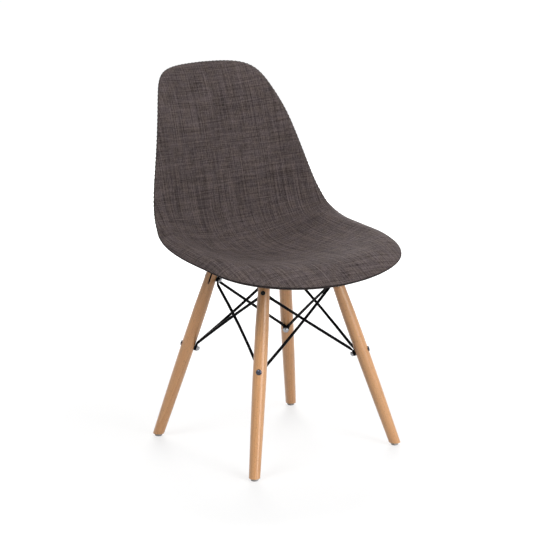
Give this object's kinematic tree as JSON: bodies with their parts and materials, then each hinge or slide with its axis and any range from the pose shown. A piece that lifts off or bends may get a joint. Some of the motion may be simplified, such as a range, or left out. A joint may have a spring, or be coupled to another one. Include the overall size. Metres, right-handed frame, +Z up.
{
  "type": "side chair",
  "caption": "Armless dining side chair: fabric-covered moulded bucket shell on splayed round wooden legs, braced by crossed steel rods.",
  "frame": {"origin": "on the floor, under the middle of the chair's bounding box", "axes": "+Z up, +X to the sitter's left, -Y the way the sitter faces"},
  "size_m": [0.5106, 0.5172, 0.8181],
  "materials": {
    "cover_fabric": "slub linen-look weave, charcoal brown, matt",
    "foam": "cut polyurethane foam, hidden",
    "shell_plastic": "moulded polypropylene, hidden but for its bosses",
    "binding": "thin dark seam cord",
    "beech": "clear satin lacquer on steamed beech",
    "black_steel": "satin black powder coat",
    "dark_steel": "dark nickel plate, glossy",
    "bright_steel": "bright zinc or nickel plate",
    "brass": "threaded insert, hidden",
    "rubber": "black rubber",
    "glide_plastic": "grey nylon"
  },
  "bodies": {
    "root": {"front_cover": "cover_fabric", "seat_foam": "foam", "shell_core": "shell_plastic", "back_cover": "cover_fabric", "edge_binding": "binding", "leg_front_left": "beech", "glide_front_left": "glide_plastic", "upper_bolt_front_left": "black_steel", "lower_bolt_front_left": "dark_steel", "upper_cap_nut_front_left": "bright_steel", "lower_cap_nut_front_left": "bright_steel", "bracket_front_left": "black_steel", "spacer_front_left": "rubber", "insert_front_left": "brass", "seat_screw_front_left": "black_steel", "leg_rear_left": "beech", "glide_rear_left": "glide_plastic", "upper_bolt_rear_left": "black_steel", "lower_bolt_rear_left": "dark_steel", "upper_cap_nut_rear_left": "bright_steel", "lower_cap_nut_rear_left": "bright_steel", "bracket_rear_left": "black_steel", "spacer_rear_left": "rubber", "insert_rear_left": "brass", "seat_screw_rear_left": "black_steel", "leg_rear_right": "beech", "glide_rear_right": "glide_plastic", "upper_bolt_rear_right": "black_steel", "lower_bolt_rear_right": "dark_steel", "upper_cap_nut_rear_right": "bright_steel", "lower_cap_nut_rear_right": "bright_steel", "bracket_rear_right": "black_steel", "spacer_rear_right": "rubber", "insert_rear_right": "brass", "seat_screw_rear_right": "black_steel", "leg_front_right": "beech", "glide_front_right": "glide_plastic", "upper_bolt_front_right": "black_steel", "lower_bolt_front_right": "dark_steel", "upper_cap_nut_front_right": "bright_steel", "lower_cap_nut_front_right": "bright_steel", "bracket_front_right": "black_steel", "spacer_front_right": "rubber", "insert_front_right": "brass", "seat_screw_front_right": "black_steel", "rod_front_left_down_to_rear_left": "black_steel", "rod_rear_left_down_to_front_left": "black_steel", "rod_rear_left_down_to_rear_right": "black_steel", "rod_rear_right_down_to_rear_left": "black_steel", "rod_rear_right_down_to_front_right": "black_steel", "rod_front_right_down_to_rear_right": "black_steel", "rod_front_right_down_to_front_left": "black_steel", "rod_front_left_down_to_front_right": "black_steel"}
  },
  "joints": []
}
